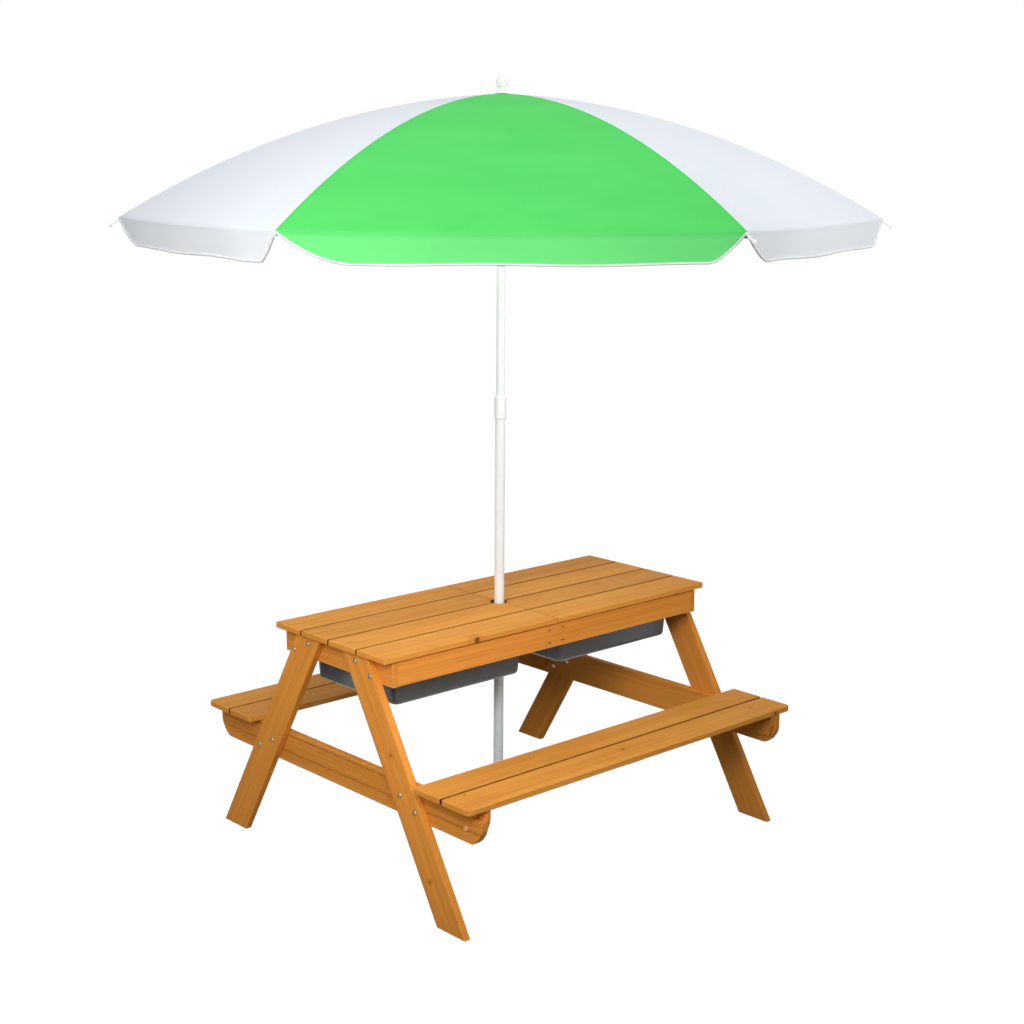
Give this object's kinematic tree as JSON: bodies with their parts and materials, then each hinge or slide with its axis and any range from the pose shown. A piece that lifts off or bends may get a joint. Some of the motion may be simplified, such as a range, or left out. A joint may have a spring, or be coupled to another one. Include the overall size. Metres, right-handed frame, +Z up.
{
  "type": "picnic table",
  "caption": "Child's wooden picnic table with lift-off tops over drop-in sand bins, a bench along each side and a folding umbrella through the middle.",
  "frame": {"origin": "on the floor, below the umbrella pole in the middle of the table", "axes": "+X along the table and its benches, +Y across it towards the back bench, +Z up along the pole"},
  "size_m": [1.5638, 1.6236, 1.634],
  "materials": {
    "top_wood": "stained softwood boards, satin, with grain and knots",
    "frame_wood": "stained softwood boards, satin, with grain and knots",
    "bench_wood": "stained softwood boards, satin, with grain and knots",
    "bin_plastic": "moulded plastic with a soft sheen",
    "pole_paint": "white powder coat on steel tube",
    "umbrella_fittings": "moulded white plastic",
    "rib_steel": "thin white coat on steel",
    "canopy_green": "thin woven polyester, bright green",
    "canopy_white": "thin woven polyester, cool white"
  },
  "bodies": {
    "table_frame": {"front_apron": "frame_wood", "back_apron": "frame_wood", "left_end_board": "frame_wood", "right_end_board": "frame_wood", "left_divider": "frame_wood", "right_divider": "frame_wood", "front_left_leg": "frame_wood", "front_right_leg": "frame_wood", "back_left_leg": "frame_wood", "back_right_leg": "frame_wood", "left_seat_beam": "frame_wood", "right_seat_beam": "frame_wood", "front_bench_outer_slat": "bench_wood", "front_bench_inner_slat": "bench_wood", "front_bench_left_cleat": "bench_wood", "front_bench_right_cleat": "bench_wood", "front_bench_centre_cleat": "bench_wood", "back_bench_outer_slat": "bench_wood", "back_bench_inner_slat": "bench_wood", "back_bench_left_cleat": "bench_wood", "back_bench_right_cleat": "bench_wood", "back_bench_centre_cleat": "bench_wood"},
    "left_top": {"left_top_slat_1": "top_wood", "left_top_slat_2": "top_wood", "left_top_slat_3": "top_wood", "left_top_slat_4": "top_wood", "left_top_inner_batten": "top_wood", "left_top_outer_batten": "top_wood"},
    "right_top": {"right_top_slat_1": "top_wood", "right_top_slat_2": "top_wood", "right_top_slat_3": "top_wood", "right_top_slat_4": "top_wood", "right_top_inner_batten": "top_wood", "right_top_outer_batten": "top_wood"},
    "left_bin": {"left_sand_bin": "bin_plastic"},
    "right_bin": {"right_sand_bin": "bin_plastic"},
    "umbrella_foot": {"lower_pole": "pole_paint", "pole_collar": "umbrella_fittings"},
    "umbrella_head": {"upper_pole": "pole_paint", "crown": "umbrella_fittings", "finial": "umbrella_fittings", "canopy_gore_1": "canopy_white", "canopy_gore_2": "canopy_green", "canopy_gore_3": "canopy_white", "canopy_gore_4": "canopy_green", "canopy_gore_5": "canopy_white", "canopy_gore_6": "canopy_green"},
    "umbrella_runner": {"runner": "umbrella_fittings"},
    "umbrella_rib_1": {"rib_1": "rib_steel"},
    "umbrella_rib_2": {"rib_2": "rib_steel"},
    "umbrella_rib_3": {"rib_3": "rib_steel"},
    "umbrella_rib_4": {"rib_4": "rib_steel"},
    "umbrella_rib_5": {"rib_5": "rib_steel"},
    "umbrella_rib_6": {"rib_6": "rib_steel"},
    "umbrella_stretcher_1": {"stretcher_1": "rib_steel"},
    "umbrella_stretcher_2": {"stretcher_2": "rib_steel"},
    "umbrella_stretcher_3": {"stretcher_3": "rib_steel"},
    "umbrella_stretcher_4": {"stretcher_4": "rib_steel"},
    "umbrella_stretcher_5": {"stretcher_5": "rib_steel"},
    "umbrella_stretcher_6": {"stretcher_6": "rib_steel"}
  },
  "joints": [
    {"name": "left_top_lift", "type": "slide", "parent": "table_frame", "child": "left_top", "axis": [0, 0, 1], "range_m": [0, 0.2]},
    {"name": "right_top_lift", "type": "slide", "parent": "table_frame", "child": "right_top", "axis": [0, 0, 1], "range_m": [0, 0.2]},
    {"name": "left_bin_lift", "type": "slide", "parent": "table_frame", "child": "left_bin", "axis": [0, 0, 1], "range_m": [0, 0.12]},
    {"name": "right_bin_lift", "type": "slide", "parent": "table_frame", "child": "right_bin", "axis": [0, 0, 1], "range_m": [0, 0.12]},
    {"name": "umbrella_lift", "type": "slide", "parent": "table_frame", "child": "umbrella_foot", "axis": [0, 0, 1], "range_m": [0, 0.5]},
    {"name": "upper_pole_pull", "type": "slide", "parent": "umbrella_foot", "child": "umbrella_head", "axis": [0, 0, 1], "range_m": [0, 0.13]},
    {"name": "umbrella_fold", "type": "slide", "parent": "umbrella_head", "child": "umbrella_runner", "axis": [0, 0, -1], "range_m": [0, 0.33349], "deforming": ["canopy_gore_1", "canopy_gore_2", "canopy_gore_3", "canopy_gore_4", "canopy_gore_5", "canopy_gore_6"]},
    {"name": "rib_1_turn", "type": "hinge", "parent": "umbrella_head", "child": "umbrella_rib_1", "pos_m": [0.01513, 0.00521, 1.59288], "axis": [-0.3256, 0.9455, 0], "range_deg": [0, 68]},
    {"name": "rib_2_turn", "type": "hinge", "parent": "umbrella_head", "child": "umbrella_rib_2", "pos_m": [0.00305, 0.01571, 1.59288], "axis": [-0.9816, 0.1908, 0], "range_deg": [0, 68]},
    {"name": "rib_3_turn", "type": "hinge", "parent": "umbrella_head", "child": "umbrella_rib_3", "pos_m": [-0.01208, 0.0105, 1.59288], "axis": [-0.6561, -0.7547, 0], "range_deg": [0, 68]},
    {"name": "rib_4_turn", "type": "hinge", "parent": "umbrella_head", "child": "umbrella_rib_4", "pos_m": [-0.01513, -0.00521, 1.59288], "axis": [0.3256, -0.9455, 0], "range_deg": [0, 68]},
    {"name": "rib_5_turn", "type": "hinge", "parent": "umbrella_head", "child": "umbrella_rib_5", "pos_m": [-0.00305, -0.01571, 1.59288], "axis": [0.9816, -0.1908, 0], "range_deg": [0, 68]},
    {"name": "rib_6_turn", "type": "hinge", "parent": "umbrella_head", "child": "umbrella_rib_6", "pos_m": [0.01208, -0.0105, 1.59288], "axis": [0.6561, 0.7547, 0], "range_deg": [0, 68]},
    {"name": "stretcher_1_turn", "type": "hinge", "parent": "umbrella_runner", "child": "umbrella_stretcher_1", "pos_m": [0.01607, 0.00553, 1.352], "axis": [-0.3256, 0.9455, 0], "range_deg": [-42.17, 0]},
    {"name": "stretcher_2_turn", "type": "hinge", "parent": "umbrella_runner", "child": "umbrella_stretcher_2", "pos_m": [0.00324, 0.01669, 1.352], "axis": [-0.9816, 0.1908, 0], "range_deg": [-42.17, 0]},
    {"name": "stretcher_3_turn", "type": "hinge", "parent": "umbrella_runner", "child": "umbrella_stretcher_3", "pos_m": [-0.01283, 0.01115, 1.352], "axis": [-0.6561, -0.7547, 0], "range_deg": [-42.17, 0]},
    {"name": "stretcher_4_turn", "type": "hinge", "parent": "umbrella_runner", "child": "umbrella_stretcher_4", "pos_m": [-0.01607, -0.00553, 1.352], "axis": [0.3256, -0.9455, 0], "range_deg": [-42.17, 0]},
    {"name": "stretcher_5_turn", "type": "hinge", "parent": "umbrella_runner", "child": "umbrella_stretcher_5", "pos_m": [-0.00324, -0.01669, 1.352], "axis": [0.9816, -0.1908, 0], "range_deg": [-42.17, 0]},
    {"name": "stretcher_6_turn", "type": "hinge", "parent": "umbrella_runner", "child": "umbrella_stretcher_6", "pos_m": [0.01283, -0.01115, 1.352], "axis": [0.6561, 0.7547, 0], "range_deg": [-42.17, 0]}
  ],
  "couplings": [
    {"joint": "left_bin_lift", "follows": "left_top_lift", "ratio": 0.6},
    {"joint": "right_bin_lift", "follows": "right_top_lift", "ratio": 0.6},
    {"joint": "rib_1_turn", "follows": "umbrella_fold", "rad_per_m": 3.5588},
    {"joint": "rib_2_turn", "follows": "umbrella_fold", "rad_per_m": 3.5588},
    {"joint": "rib_3_turn", "follows": "umbrella_fold", "rad_per_m": 3.5588},
    {"joint": "rib_4_turn", "follows": "umbrella_fold", "rad_per_m": 3.5588},
    {"joint": "rib_5_turn", "follows": "umbrella_fold", "rad_per_m": 3.5588},
    {"joint": "rib_6_turn", "follows": "umbrella_fold", "rad_per_m": 3.5588},
    {"joint": "stretcher_1_turn", "follows": "umbrella_fold", "rad_per_m": -2.2071},
    {"joint": "stretcher_2_turn", "follows": "umbrella_fold", "rad_per_m": -2.2071},
    {"joint": "stretcher_3_turn", "follows": "umbrella_fold", "rad_per_m": -2.2071},
    {"joint": "stretcher_4_turn", "follows": "umbrella_fold", "rad_per_m": -2.2071},
    {"joint": "stretcher_5_turn", "follows": "umbrella_fold", "rad_per_m": -2.2071},
    {"joint": "stretcher_6_turn", "follows": "umbrella_fold", "rad_per_m": -2.2071}
  ]
}
